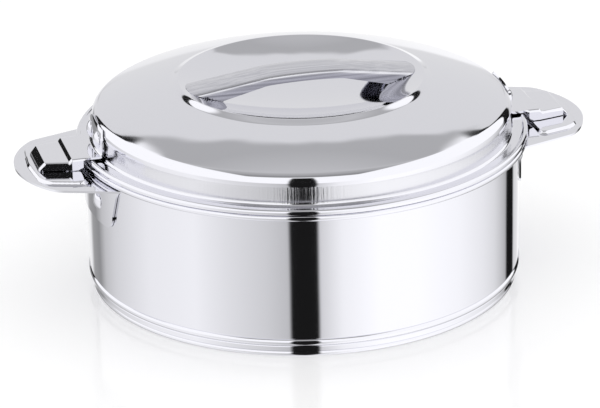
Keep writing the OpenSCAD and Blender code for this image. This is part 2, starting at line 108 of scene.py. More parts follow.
def noise(tree, scale, detail):
    """Soft noise over the object, with that many waves a metre in all directions or along X, Y and Z."""
    where = node(tree, "ShaderNodeTexCoord").outputs["Object"]
    if isinstance(scale, tuple):
        where = node(tree, "ShaderNodeMapping", {"Vector": where, "Scale": scale}).outputs[0]
        scale = 1.0
    return node(tree, "ShaderNodeTexNoise", {"Vector": where, "Scale": scale, "Detail": detail}).outputs[0]


def tinted(tree, share, dark, pale):
    """Colour between two sRGB hex codes: dark where the share is 0, pale where it is 1."""
    mix = node(tree, "ShaderNodeMix", {0: share, 6: linear(dark), 7: linear(pale)}, data_type="RGBA")
    return mix.outputs[2]


def dented(tree, pattern, depth, strength):
    """Surface direction of a skin dented by a pattern of that depth in metres."""
    return node(
        tree, "ShaderNodeBump", {"Height": pattern, "Distance": depth, "Strength": strength}
    ).outputs[0]


# Brightness that the tent shows the steel, as grey levels of the finished picture. Around the tent
# at table height, by angle from the camera, to its right: the slit at 0, a flag at 138 to 149 and a
# shaded fold at -153 to -141.
LOW_WALL = [
    (-180, 228), (-160, 222), (-153, 150), (-141, 138), (-132, 188), (-120, 208), (-90, 233),
    (-60, 239), (-40, 221), (-20, 204), (-8.5, 188), (-5.2, 20), (5.2, 20), (8.0, 205),
    (20, 240), (40, 255), (62, 255), (90, 246), (110, 231), (122, 216), (133, 184), (136.5, 168),
    (138.5, 22), (149, 22), (152, 205), (160, 213), (172, 240), (180, 228),
]
# Roof panel, by how far back it lies over its height
ROOF = [(-0.5, 139), (-0.25, 142), (0.0, 163), (0.32, 173), (0.51, 188), (0.58, 180), (0.70, 170)]
STEEL_TINT = 0.80


def seen(level):
    """Light that polished steel turns into a grey level: the level made linear, over the steel's own
    reflectance."""
    v = level / 255
    return ((v + 0.055) / 1.055) ** 2.4 / STEEL_TINT


world = bpy.data.worlds.new("light_tent")
scene.world = world
world.use_nodes = True
tent = world.node_tree
tent.nodes.clear()
ray = node(tent, "ShaderNodeTexCoord").outputs["Generated"]
facing = node(
    tent, "ShaderNodeVectorRotate", {"Vector": ray, "Angle": -CAMERA_TURN}, rotation_type="Z_AXIS"
).outputs[0]
axes = node(tent, "ShaderNodeSeparateXYZ", {0: facing}).outputs
angle = calc(tent, "ARCTAN2", axes["X"], calc(tent, "MULTIPLY", axes["Y"], -1.0))
aside = calc(tent, "ABSOLUTE", angle)
place = calc(tent, "MULTIPLY_ADD", angle, 1 / math.tau, 0.5)
low_wall = node(
    tent, "ShaderNodeValToRGB", {0: place}, [(a / 360 + 0.5, seen(v)) for a, v in LOW_WALL]
).outputs[0]


def step(value, start, end):
    """A soft edge: 0 at start, 1 at end, smooth between."""
    return node(
        tent, "ShaderNodeMapRange", {0: value, 1: start, 2: end}, interpolation_type="SMOOTHSTEP"
    ).outputs[0]


def between(part, off, on):
    """Blend of two brightnesses: off where part is 0, on where it is 1."""
    return node(tent, "ShaderNodeMix", {0: part, 2: off, 3: on}).outputs[0]


def times(a, b):
    """Product of two brightnesses or masks."""
    return calc(tent, "MULTIPLY", a, b)


height = calc(tent, "MAXIMUM", axes["Z"], 0.02)
side_over = calc(tent, "ABSOLUTE", calc(tent, "DIVIDE", axes["X"], height))
back_over = calc(tent, "DIVIDE", axes["Y"], height)

# Above table height two flags lean to the back and narrow as they rise: radians from the camera's
# side to the middle of a flag and its half width, first at table height and then at its top. White
# cloth hangs before them, and a greyer one behind them.
FLAG_TURN, FLAG_HALF, FLAG_TOP = (2.496, 2.714), (0.115, 0.02), 0.6
SIDE_CLOTH, BACK_CLOTH, FLAG_BLACK = 250, 212, 26
flag_turn = ranged(tent, axes["Z"], *FLAG_TURN, 0.0, FLAG_TOP)
flag_half = ranged(tent, axes["Z"], *FLAG_HALF, 0.0, FLAG_TOP)
over_flag = calc(tent, "DIVIDE", calc(tent, "SUBTRACT", aside, flag_turn), flag_half)
cloth = between(step(over_flag, -0.3, 0.3), seen(SIDE_CLOTH), seen(BACK_CLOTH))
on_flag = step(calc(tent, "ABSOLUTE", over_flag), 1.15, 0.9)
on_flag = times(on_flag, step(axes["Z"], FLAG_TOP + 0.03, FLAG_TOP - 0.01))
upper_wall = between(on_flag, cloth, seen(FLAG_BLACK))
tent_light = between(step(axes["Z"], -0.03, 0.03), low_wall, upper_wall)

# The roof panel. Its back edge bows away at the sides and hangs in shallow waves; its sides run
# straight to the back and flare there. Places are distances back or aside over the height.
ROOF_FRONT, ROOF_BACK = -0.6, 0.8
ROOF_BOW, ROOF_WAVE, ROOF_FLARE, FLARE_FROM = 1.75, 0.18, 0.28, 0.9
roof = node(
    tent, "ShaderNodeValToRGB", {0: ranged(tent, back_over, 0.0, 1.0, ROOF_FRONT, ROOF_BACK)},
    [((b - ROOF_FRONT) / (ROOF_BACK - ROOF_FRONT), seen(v)) for b, v in ROOF],
).outputs[0]
waves = node(tent, "ShaderNodeTexNoise", {"Vector": facing, "Scale": 7.0, "Detail": 1.0}).outputs[0]
bowed = calc(tent, "MULTIPLY_ADD", times(side_over, side_over), -ROOF_BOW, back_over)
back_edge = calc(tent, "MULTIPLY_ADD", waves, ROOF_WAVE, bowed)
far_back = calc(tent, "MAXIMUM", back_over, FLARE_FROM)
side_edge = calc(tent, "MULTIPLY_ADD", far_back, -ROOF_FLARE, side_over)
front_to_back = times(step(back_edge, 0.90, 0.83), step(back_over, -0.56, -0.48))
over_roof = times(step(side_edge, 0.235, 0.165), front_to_back)
tent_light = between(times(over_roof, step(axes["Z"], 0.05, 0.15)), tent_light, roof)

# The slit that the camera looks through: its soft edges in degrees to each side, and its black
SLIT_OUT, SLIT_IN, SLIT_BLACK = 8.6, 6.2, 24
slit = times(step(aside, math.radians(SLIT_OUT), math.radians(SLIT_IN)), step(axes["Z"], 0.86, 0.80))
tent_light = between(slit, tent_light, seen(SLIT_BLACK))

paths = node(tent, "ShaderNodeLightPath").outputs
plain = between(paths["Is Glossy Ray"], 1.0, tent_light)
sky = node(tent, "ShaderNodeBackground", {"Color": between(paths["Is Camera Ray"], plain, 1.0)})
node(tent, "ShaderNodeOutputWorld", {"Surface": sky.outputs[0]})


def material(name, shader, parts):
    """A new material of one Principled shader: shader holds plain socket values, and parts(tree) returns
    the linked ones."""
    made = bpy.data.materials.new(name)
    made.use_nodes = True
    made.node_tree.nodes.clear()
    ins = {**shader, **parts(made.node_tree)}
    surface = node(made.node_tree, "ShaderNodeBsdfPrincipled", ins)
    node(made.node_tree, "ShaderNodeOutputMaterial", {"Surface": surface.outputs[0]})
    return made


def acrylic_parts(tree):
    """Haze of a wiped acrylic sheet: roughness drifts a little over patches some 60 mm across. The sheet
    glows by 0.12 to the lens alone, so it throws no light of its own on the pot."""
    lens = node(tree, "ShaderNodeLightPath").outputs["Is Camera Ray"]
    return {
        "Roughness": ranged(tree, noise(tree, 1 / 0.06, 2.0), 0.10, 0.16),
        "Emission Strength": calc(tree, "MULTIPLY", lens, 0.12),
    }


# White cast acrylic: a pale sheet, lit through so that it photographs white, with the pot mirrored
# faintly in it
white_acrylic = material("white_cast_acrylic", {"Base Color": linear("FDFDFD"), "IOR": 1.49}, acrylic_parts)
floor = bpy.data.objects.new("table_top", bpy.data.meshes.new("table_top"))
floor.data.from_pydata([(-6, -6, 0), (6, -6, 0), (6, 6, 0), (-6, 6, 0)], [], [(0, 1, 2, 3)])
floor.data.materials.append(white_acrylic)
scene.collection.objects.link(floor)
floor.visible_glossy = False

# ---------------------------------------------------------------- outer wall
# The pot's outer shell: 0.5 mm stainless strip rolled to a 240 mm drum, seam-welded and buffed to a
# mirror. A small bead is rolled in above the foot, and the top turns out to carry the bowl's curl.
SHEET = 0.5
WALL_R = 120.0
RIM_Z = 82.9
RIM_R = 125.2
CURL_R = 1.7
FLANGE_Z = RIM_Z - 1.3
SEAM_Z = 6.6
BEAD_R = 2.0
NECK_R = 2.5


def buffed_parts(tree):
    """Buffing haze some 25 mm across, and sheet that is out of flat by a few hundredths of a millimetre."""
    return {
        "Roughness": ranged(tree, noise(tree, 1 / 0.025, 3.0), 0.03, 0.07),
        "Normal": dented(tree, noise(tree, 1 / 0.05, 1.0), 0.00012, 0.6),
    }


# Stainless buffed to a mirror: clean, slightly lavender grey reflections with a breath of haze
mirror_steel = material(
    "mirror_buffed_stainless", {"Base Color": linear("E6E6EC"), "Metallic": 1.0}, buffed_parts
)


def arc(centre, radius, start, end, count):
    """Points on a circle: centre plus radius times the cosine and sine of angles spread evenly from start
    to end, in degrees."""
    a = np.radians(np.linspace(start, end, count + 1))
    return np.array(centre) + radius * np.stack([np.cos(a), np.sin(a)], 1)


def held(line, reach=0.2, over=1.0):
    """A straight run longer than `over` gets a point `reach` from each end, so that a mirror-bright flat
    shades flat."""
    run = np.diff(line, axis=0)
    length = np.hypot(*run.T)
    wide = np.flatnonzero(length > over)
    inward = run[wide] / length[wide, None] * reach
    extra = np.stack([line[wide] + inward, line[wide + 1] - inward], 1).reshape(-1, 2)
    return np.insert(line, np.repeat(wide + 1, 2), extra, 0)


def sheet_of(line, t):
    """Closed outline of a sheet: the line, and the line shifted t to its right, each point along its
    mitre."""
    run = np.diff(line, axis=0)
    run /= np.hypot(*run.T)[:, None]
    right = np.stack([run[:, 1], -run[:, 0]], 1)
    mitre = np.vstack([right[:1], right]) + np.vstack([right, right[-1:]])
    other = line + mitre * (2 * t / (mitre ** 2).sum(1))[:, None]
    other[:, 0] = np.where(line[:, 0] == 0, 0, other[:, 0])
    return np.vstack([line, other[::-1]])


def quads(rows, cols, close_rows=False, close_cols=False):
    """Four-sided faces of a grid numbered row by row; a closed side joins its last line to its first."""
    i = np.arange(rows if close_rows else rows - 1)[:, None]
    j = np.arange(cols if close_cols else cols - 1)[None, :]
    i, j = np.broadcast_arrays(i, j)
    k, m = (i + 1) % rows, (j + 1) % cols
    return np.stack([i * cols + j, k * cols + j, k * cols + m, i * cols + m], -1).reshape(-1, 4)


def piece(name, points, faces, body, slot, nodes, finishes, solid=True):
    """A smooth-shaded object from millimetre points: doubles and poles merge, and a closed skin turns
    outward."""
    mesh = bpy.data.meshes.new(name)
    mesh.from_pydata((points.reshape(-1, 3) / 1000).tolist(), [], faces.tolist())
    work = bmesh.new()
    work.from_mesh(mesh)
    bmesh.ops.remove_doubles(work, verts=work.verts, dist=1e-6)
    bmesh.ops.delete(work, geom=[v for v in work.verts if not v.link_faces], context="VERTS")
    if solid:
        bmesh.ops.recalc_face_normals(work, faces=work.faces)
    work.to_mesh(mesh)
    work.free()
    mesh.polygons.foreach_set("use_smooth", np.ones(len(mesh.polygons), bool))
    mesh.set_sharp_from_angle(angle=math.radians(40))
    for finish in finishes:
        mesh.materials.append(finish)
    made = bpy.data.objects.new(name, mesh)
    scene.collection.objects.link(made)
    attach(made, body)
    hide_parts(*nodes)
    return made


def turned_skin(outline, steps=320):
    """Outline of (radius, height) points carried round the axis: x = r cos a, y = r sin a, z = height."""
    a = np.arange(steps) * math.tau / steps
    r, z = outline[:, :1], outline[:, 1:]
    grid = np.stack([r * np.cos(a), r * np.sin(a), z + 0 * a], -1)
    return grid, quads(len(outline), steps, True, True)


def turned(name, outline, body, slot, finishes):
    """One turned or spun sheet that stands for the frame's node of the same name."""
    return piece(name, *turned_skin(outline), body, slot, [name], finishes)


shell_line = np.vstack([
    [[WALL_R - 3.6, SEAM_Z]],
    arc((WALL_R - 1.2, SEAM_Z + 1.9), BEAD_R, -70, 62, 18),
    [[WALL_R, SEAM_Z + 4.2]],
    arc((WALL_R + NECK_R, FLANGE_Z - NECK_R), NECK_R, 180, 90, 14),
    [[RIM_R - CURL_R, FLANGE_Z]],
])
turned("outer_shell", sheet_of(held(shell_line), -SHEET), "pot", "polished_steel", [mirror_steel])

# ---------------------------------------------------------------- inner bowl
# The food bowl, deep-drawn from one 0.5 mm stainless disc. Its lip is curled out over the shell's
# flange, which clamps the two together; inside it keeps a fine satin finish.
BOWL_R, BOWL_FLOOR = 107.0, 14.0
BOWL_CORNER, BOWL_LIP = 12.0, 3.0
BOWL_TAPER = 3.0


def satin_parts(tree):
    """Lathe-polishing rings 0.4 mm apart, drawn at 0.8 mm so that they show: noise squeezed up the axis."""
    rings = noise(tree, (40.0, 40.0, 1250.0), 3.0)
    return {
        "Roughness": ranged(tree, rings, 0.16, 0.30),
        "Normal": dented(tree, rings, 0.00004, 0.4),
    }


# Satin stainless of a food surface: soft, milky reflections
satin_steel = material("satin_stainless", {"Base Color": linear("D6D6DA"), "Metallic": 1.0}, satin_parts)

flat_r = BOWL_R - BOWL_TAPER - BOWL_CORNER
bowl_line = np.vstack([
    np.stack([np.linspace(0, flat_r, 12), np.full(12, BOWL_FLOOR)], 1)[:-1],
    arc((flat_r, BOWL_FLOOR + BOWL_CORNER), BOWL_CORNER, -90, 0, 20),
    arc((BOWL_R + BOWL_LIP, RIM_Z - BOWL_LIP), BOWL_LIP, 180, 90, 12),
    arc((RIM_R - CURL_R, RIM_Z - CURL_R), CURL_R, 90, -110, 28),
])
inner_bowl = turned(
    "inner_bowl", sheet_of(held(bowl_line), SHEET), "pot", "polished_steel", [satin_steel, mirror_steel]
)


def finish_zone(made, index, inside):
    """Faces whose middle, as radius, height, x and y in millimetres, lies inside the zone take that
    finish."""
    mesh = made.data
    middle = np.zeros(len(mesh.polygons) * 3)
    mesh.polygons.foreach_get("center", middle)
    x, y, z = middle.reshape(-1, 3).T * 1000
    slots = np.zeros(len(mesh.polygons), np.int32)
    mesh.polygons.foreach_get("material_index", slots)
    slots[inside(np.hypot(x, y), z, x, y)] = index
    mesh.polygons.foreach_set("material_index", slots)
    mesh.update()


finish_zone(inner_bowl, 1, lambda r, z, x, y: z > RIM_Z - BOWL_LIP)

# ---------------------------------------------------------------- foam between shell and bowl
# Rigid polyurethane foam poured between shell and bowl before the foot cap goes on. It is sealed in,
# and only a cut pot would show its fine closed cells.


def foam_parts(tree):
    """Closed cells 0.6 mm across: a cell pattern shades the colour, dents the skin and never shines."""
    where = node(tree, "ShaderNodeTexCoord").outputs["Object"]
    cell = node(tree, "ShaderNodeTexVoronoi", {"Vector": where, "Scale": 1 / 0.0006}).outputs["Distance"]
    return {
        "Base Color": tinted(tree, cell, "E2D6A8", "F0E8C8"),
        "Normal": dented(tree, cell, 0.0002, 0.5),
    }


# Cream polyurethane foam: matt, pitted, slightly yellow where cells are thin
foam = material("polyurethane_foam", {"Roughness": 0.9, "IOR": 1.45}, foam_parts)


def refinish(name, finish):
    """Gives a node of the frame its material, in every slot that it has."""
    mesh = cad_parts[name].data
    mesh.materials.clear()
    mesh.materials.append(finish)


refinish("body_insulation", foam)

# ---------------------------------------------------------------- foot cap
# The base: a shallow pressed pan of 0.5 mm stainless, closed over the foam and seamed under the
# shell. Its stepped edge is the ring that the pot stands on.
cap_line = np.vstack([
    [[WALL_R - 7, SEAM_Z]],
    arc((WALL_R - 1.6, SEAM_Z - 1), 1, 90, 0, 10),
    [[WALL_R - 0.6, SEAM_Z - 3], [WALL_R - 1.5, SEAM_Z - 3.9]],
    arc((WALL_R - 2.6, 1.5), 1.5, 20, -90, 12),
    [[WALL_R - 13, 0], [WALL_R - 16, 2.2], [WALL_R - 60, 2.2], [0, 2.2]],
])
turned("base_cap", sheet_of(held(cap_line), SHEET), "pot", "polished_steel", [mirror_steel])

# ---------------------------------------------------------------- side handles
# Two handles, each pressed from one 1.2 mm stainless blank: a flange curved to the wall, a tight
# bend, and a flat paddle with a raised middle panel that stiffens it.
PLATE = 1.2
FLANGE_R = WALL_R + 0.25
EAR_Z = 79.2
BEND_R = 2.0 + PLATE
BEND_X = FLANGE_R + BEND_R
EAR_HALF, EAR_TAPER = 48.0, 0.357
SIDE_LEAN = math.atan(EAR_TAPER)
TIP_X, TIP_R, CORNER_R = 105.0, 56.0, 14.0
FLANGE_HALF, FLANGE_H, FLANGE_CORNER = 37.0, 28.0, 8.0
PANEL_H, PANEL_EDGE = 1.6, 1.6
# Corners of the panel, near the wall and near the tip: distance from the axis, inset of the centre
# from the paddle's side, radius
PANEL_CORNERS = ((130.8, 12.8, 4), (140.8, 20.8, 12))


def ear_side(x):
    """Half width of the paddle at distance x: EAR_HALF at the wall, less EAR_TAPER for each millimetre
    further out."""
    return EAR_HALF - EAR_TAPER * (x - WALL_R)


def spread(line, count):
    """count points evenly spaced along a line, by its length."""
    at = np.r_[0, np.cumsum(np.hypot(*np.diff(line, axis=0).T))]
    t = np.linspace(0, at[-1], count)
    return np.stack([np.interp(t, at, line[:, 0]), np.interp(t, at, line[:, 1])], 1)


def smooth(t):
    """Smooth step: 3t^2 - 2t^3 of t held between 0 and 1."""
    t = np.clip(t, 0, 1)
    return t * t * (3 - 2 * t)


def ear_edge():
    """Outline of the paddle from where it meets the bend to the middle of its corner, and on over the tip."""
    slope = math.tan(SIDE_LEAN)
    inset = ear_side(0) - CORNER_R / math.cos(SIDE_LEAN)
    b, c = -(TIP_X + slope * inset), TIP_X ** 2 + inset ** 2 - (TIP_R - CORNER_R) ** 2
    x = (-b + math.sqrt(b * b - (1 + slope ** 2) * c)) / (1 + slope ** 2)
    centre = np.array([x, inset - slope * x])
    out = math.degrees(math.atan2(centre[1], centre[0] - TIP_X))
    first = 90 - math.degrees(SIDE_LEAN)
    half = (first + out) / 2
    h = ear_side(0)
    start = (slope * h + math.sqrt((1 + slope ** 2) * BEND_X ** 2 - h * h)) / (1 + slope ** 2)
    start = min(start, BEND_X)
    side = np.vstack([[[start, ear_side(start)]], arc(centre, CORNER_R, first, half, 20)])
    tip = np.vstack([
        arc(centre, CORNER_R, half, out, 20)[:-1],
        arc((TIP_X, 0), TIP_R, out, 0, 60),
    ])
    return side, np.vstack([tip, tip[-2::-1] * [1, -1]])


def panel_lift(x, y):
    """Height of the raised panel: a smooth step just inside the hull of four round corners and the tip
    arc. A point lies outside a convex outline by the largest of p.n - h(n) over directions n."""
    a = np.linspace(0, math.tau, 241)[:-1]
    n = np.stack([np.cos(a), np.sin(a)])
    reach = [
        np.array([cx, s * (ear_side(cx) - inset)]) @ n + r
        for cx, inset, r in PANEL_CORNERS for s in (-1, 1)
    ]
    tip = arc((114.5, 0), 40, -48, 48, 60) @ n
    reach = np.max(np.vstack([*reach, tip]), 0)
    outside = np.max(np.stack([x, y], -1) @ n - reach, -1)
    return PANEL_H * smooth(-outside / PANEL_EDGE)


def ear_sheet():
    """Top and inner face of a handle as a grid: flange rows on the wall's cylinder, the bend, then a
    Coons patch from the bend's arc to the tip, lifted by the panel."""
    rows, cols, corner_rows, bend_rows, ease_from = 110, 241, 12, 14, 70
    across = np.linspace(-1, 1, cols)
    dip = FLANGE_CORNER * (1 - np.cos(np.linspace(0, math.pi / 2, corner_rows)))
    corner_z = EAR_Z - FLANGE_H + FLANGE_CORNER
    z = np.r_[EAR_Z - FLANGE_H + dip, np.linspace(corner_z + 0.7, EAR_Z - BEND_R, 30)]
    rounded = np.sqrt(FLANGE_CORNER ** 2 - (FLANGE_CORNER - dip) ** 2)
    half = np.r_[FLANGE_HALF - FLANGE_CORNER + rounded, FLANGE_HALF + (z[corner_rows:] - corner_z) / 3]
    bend = np.linspace(0, math.pi / 2, bend_rows + 1)[1:]
    r = np.r_[np.full(len(z), FLANGE_R), BEND_X - BEND_R * np.cos(bend)]
    along = np.r_[z - ease_from, EAR_Z - BEND_R - ease_from + BEND_R * bend]
    half = np.r_[half, np.full(bend_rows, half[-1])]
    z = np.r_[z, EAR_Z - BEND_R + BEND_R * np.sin(bend)]
    side, tip = ear_edge()
    half += (side[0, 1] - half) * np.clip(along / along[-1], 0, 1) ** 3
    y = half[:, None] * across
    wall = np.stack([np.sqrt(r[:, None] ** 2 - y ** 2), y, z[:, None] + 0 * y], -1)
    v = np.linspace(0, 1, rows)[:, None, None]
    s = (across[None, :, None] + 1) / 2
    inner = wall[-1, :, :2][None]
    outer = spread(tip, cols)[::-1][None]
    high = spread(side, rows)[:, None]
    low = high * [1, -1]
    flat = (1 - v) * inner + v * outer + (1 - s) * low + s * high - (
        (1 - s) * (1 - v) * inner[:, :1] + s * (1 - v) * inner[:, -1:]
        + (1 - s) * v * outer[:, :1] + s * v * outer[:, -1:]
    )
    top = EAR_Z + panel_lift(flat[..., 0], flat[..., 1])
    return np.vstack([wall, np.concatenate([flat, top[..., None]], -1)[1:]])


def thickened(made, t, edge):
    """Sheet thickness t grows behind the modelled face; its cut edges are broken by a small bevel."""
    wall = made.modifiers.new("thickness", "SOLIDIFY")
    wall.thickness = t / 1000
    wall.offset = -1
    broken = made.modifiers.new("edge", "BEVEL")
    broken.width = edge / 1000
    broken.segments = 2
    broken.limit_method = "ANGLE"
    broken.angle_limit = math.radians(50)
    broken.harden_normals = True


# The left fittings are the right ones turned half round
HALF_TURN = {"right": np.array([1, 1, 1]), "left": np.array([-1, -1, 1])}
ear = ear_sheet()
for side, way in HALF_TURN.items():
    thickened(
        piece(
            f"ear_{side}", ear * way, quads(*ear.shape[:2]), "pot", "polished_steel",
            [f"ear_{side}"], [mirror_steel], solid=False,
        ),
        PLATE, 0.3,
    )

# ---------------------------------------------------------------- handle rivets
# Two solid stainless rivets hold each handle, headed cold. Their 10 mm domed heads show; their
# tails lie in the foam and are left out.
EAR_RIVET_Z, EAR_RIVET_Y = EAR_Z - 16, 19.5
ROUND = 56


def rivet_skin(seat, head_r, head_h, deg, z):
    """A head sunk a little into its seat: ball arc from the edge to the crown, turned round its own axis,
    then aimed outward at angle deg."""
    sunk, chamfer, rise = 0.6, 0.3, 0.15
    ball = (head_r ** 2 + head_h ** 2) / (2 * head_h)
    lean = math.degrees(math.asin(head_r / ball))
    dome = arc((0, head_h - ball), ball, 90 - lean, 90, 14)
    foot = [[0, -sunk], [head_r - chamfer, -sunk], [head_r, chamfer - sunk], [head_r, rise]]
    line = np.vstack([foot, dome + [0, rise]])
    line[-1, 0] = 0
    a = np.arange(ROUND) * math.tau / ROUND
    out = seat + line[:, 1:] + 0 * a
    y, up = line[:, :1] * np.cos(a), line[:, :1] * np.sin(a)
    turn = math.radians(deg)
    grid = np.stack([
        out * math.cos(turn) - y * math.sin(turn),
        out * math.sin(turn) + y * math.cos(turn),
        z + up,
    ], -1)
    return grid, quads(len(line), ROUND, True, True)


def rivets(kind, body, seat, head_r, head_h, deg, z):
    """The four rivets of a pair of fittings, front and rear on each side."""
    for side, base, sign in (("right", 0, 1), ("left", 180, -1)):
        for end, way in (("front", -1), ("rear", 1)):
            name = f"{kind}_{side}_{end}"
            skin = rivet_skin(seat, head_r, head_h, base + sign * way * deg, z)
            piece(name, *skin, body, "polished_steel", [name], [mirror_steel])


ear_deg = math.degrees(math.asin(EAR_RIVET_Y / (FLANGE_R + PLATE)))
rivets("ear_rivet", "pot", FLANGE_R + PLATE, 5.0, 2.05, ear_deg, EAR_RIVET_Z)

# ---------------------------------------------------------------- lid
# The lid's top, deep-drawn from one 0.5 mm stainless disc: a dished recess for the handle inside a
# rolled ring, a domed crown, a tight shoulder, a skirt and a rolled hem. Crown and recess are buffed
# to a mirror; the skirt keeps the vertical grain of the belt it was ground on.
CREST_Z, CREST_R, LIP_R = RIM_Z + 32.7, WALL_R - 52.2, 1.0
DISH_Z = CREST_Z - 13.1
DOME_R, DOME_Z, BROW_R = CREST_R + 4.7, CREST_Z - 1.9, WALL_R - 8.0
DOME_FALL, DOME_CURVE = 0.2126, 0.0021
HEM_Z, HEM_BEND, HEM_ROLL = RIM_Z + 2.3, 2.0, 1.6
LIP_END, SKIRT_END = 67.0, -88.0
LID_R = RIM_R - 0.2

# The dish runs into the lip without a kink: each round takes the lip's point at the dish's lean, and
# then the lean of the dish through that point
lip_c = np.array([CREST_R, CREST_Z - LIP_R])
dish_lean = 0.0
for _ in range(30):
    dish_edge, edge_z = lip_c + LIP_R * np.array([-math.sin(dish_lean), math.cos(dish_lean)])
    dish_curve = dish_edge ** 2 / (edge_z - DISH_Z)
    dish_lean = math.atan(2 * dish_edge / dish_curve)


def dish_at(r):
    """Height of the recess: its middle plus the radius squared over the dish's curve."""
    return DISH_Z + r * r / dish_curve


def dome_at(r):
    """Height of the crown, a gentle parabola that falls away from the recess."""
    return DOME_Z - DOME_FALL * (r - DOME_R) - DOME_CURVE * (r - DOME_R) ** 2


brow_lean = math.degrees(math.atan(DOME_FALL + 2 * DOME_CURVE * (BROW_R - DOME_R)))
SHOULDER_R = 6.0
shoulder_c = np.array([BROW_R, dome_at(BROW_R)]) - SHOULDER_R * np.array([
    math.sin(math.radians(brow_lean)), math.cos(math.radians(brow_lean))])
SKIRT_R = shoulder_c[0] + SHOULDER_R


def eased(a, b, lean_a, lean_b, count):
    """Points of a Hermite curve from a to b that leaves and arrives at the given angles."""
    t = np.linspace(0, 1, count + 1)[:, None]
    span = np.hypot(*(np.array(b) - a))
    ta, tb = (span * np.array([math.cos(w), math.sin(w)]) for w in np.radians([lean_a, lean_b]))
    return (
        (2 * t ** 3 - 3 * t ** 2 + 1) * a + (t ** 3 - 2 * t ** 2 + t) * ta
        + (3 * t ** 2 - 2 * t ** 3) * b + (t ** 3 - t ** 2) * tb
    )


r_floor = np.linspace(0, dish_edge, 28)
r_dome = np.linspace(DOME_R, BROW_R, 32)
shoulder = arc(shoulder_c, SHOULDER_R, 90 - brow_lean, -12, 24)[1:]
lip = arc(lip_c, LIP_R, 90 + math.degrees(dish_lean), LIP_END, 14)[1:]
lid_line = np.vstack([
    np.stack([r_floor, dish_at(r_floor)], 1),
    lip,
    eased(lip[-1], (DOME_R, DOME_Z), LIP_END - 90, -20, 8)[1:-1],
    np.stack([r_dome, dome_at(r_dome)], 1),
    shoulder,
    eased(shoulder[-1], (SKIRT_R - 0.3, shoulder_c[1] - 4.6), -102, SKIRT_END, 6)[1:],
    arc((SKIRT_R + HEM_BEND, HEM_Z + HEM_BEND), HEM_BEND, 180, 270, 10),
    [[LID_R - 3.5, HEM_Z]],
    arc((LID_R - HEM_ROLL, HEM_Z - 0.8), HEM_ROLL, 135, 0, 14),
    arc((LID_R - 0.6, RIM_Z + 0.8), 0.6, 0, -90, 6),
    [[LID_R - 3.6, RIM_Z + 0.2]],
])


def ground_parts(tree):
    """Upright grinding lines 0.25 mm apart, drawn at 1 mm so that they show: noise stretched up the skirt."""
    grain = noise(tree, (900.0, 900.0, 20.0), 4.0)
    return {
        "Roughness": ranged(tree, grain, 0.10, 0.18),
        "Normal": dented(tree, grain, 0.0001, 0.7),
        "Tangent": node(tree, "ShaderNodeTangent", direction_type="RADIAL", axis="Z").outputs[0],
    }


# Belt-ground stainless: reflections smeared sideways by fine upright lines
ground_steel = material(
    "belt_ground_stainless",
    {"Base Color": linear("DEDEE3"), "Metallic": 1.0, "Anisotropic": 0.6, "Anisotropic Rotation": 0.25},
    ground_parts,
)
lid_top = turned(
    "lid_top", sheet_of(held(lid_line, over=3.0), SHEET), "lid", "polished_steel",
    [mirror_steel, ground_steel],
)
finish_zone(
    lid_top, 1, lambda r, z, x, y: (
        (r > SKIRT_R - 2) & (r < SKIRT_R + 3) & (z > HEM_Z + 1.2) & (z < shoulder_c[1] - 1)
    ),
)

# ---------------------------------------------------------------- lid liner
# The underside of the lid: a satin stainless pan whose flange is caught in the lid's hem. Its plug
# drops into the bowl and centres the lid.
PLUG_R, PLUG_Z, LINER_Z = BOWL_R - 1.7, RIM_Z - 5.9, RIM_Z + 1.0
PLUG_CORNER, LINER_BEND = 3.0, 1.5
liner_line = np.vstack([
    np.stack([np.linspace(0, PLUG_R - PLUG_CORNER, 14), np.full(14, PLUG_Z)], 1)[:-1],
    arc((PLUG_R - PLUG_CORNER, PLUG_Z + PLUG_CORNER), PLUG_CORNER, -90, 0, 12),
    arc((PLUG_R + LINER_BEND, LINER_Z - LINER_BEND), LINER_BEND, 180, 90, 8),
    [[LID_R - 1.8, LINER_Z]],
])
turned("lid_liner", sheet_of(held(liner_line), -SHEET), "lid", "brushed_steel", [satin_steel])

# ---------------------------------------------------------------- foam in the lid
# The same polyurethane foam, poured between the lid's top and its liner.
refinish("lid_insulation", foam)

# ---------------------------------------------------------------- strap handle
# The carrying strap: 1 mm stainless pressed to a shallow channel, bowed over the recess, its turned-
# down sides deeper at the ends, which are welded to the recess. Its top keeps the lines of the
# drawing; top and sides are painted darker as painted shade, standing in for the grey they reflect.
STRAP_T, STRAP_HALF = 1.0, 11.0
STRAP_Z = CREST_Z + 6.2
BOW_R, KNEE_R, BOW_DEG, LEG_DEG = 300.0, 50.0, 3.6, 8.5
SIDE_MID, SIDE_END = 5.5, 9.5
STRAP_END_R = CREST_R - 2.0
EDGE_R, EDGE_DROP = 2.4, 3.1
CROWN_DROP, STRAP_GAP = 0.752, 0.15


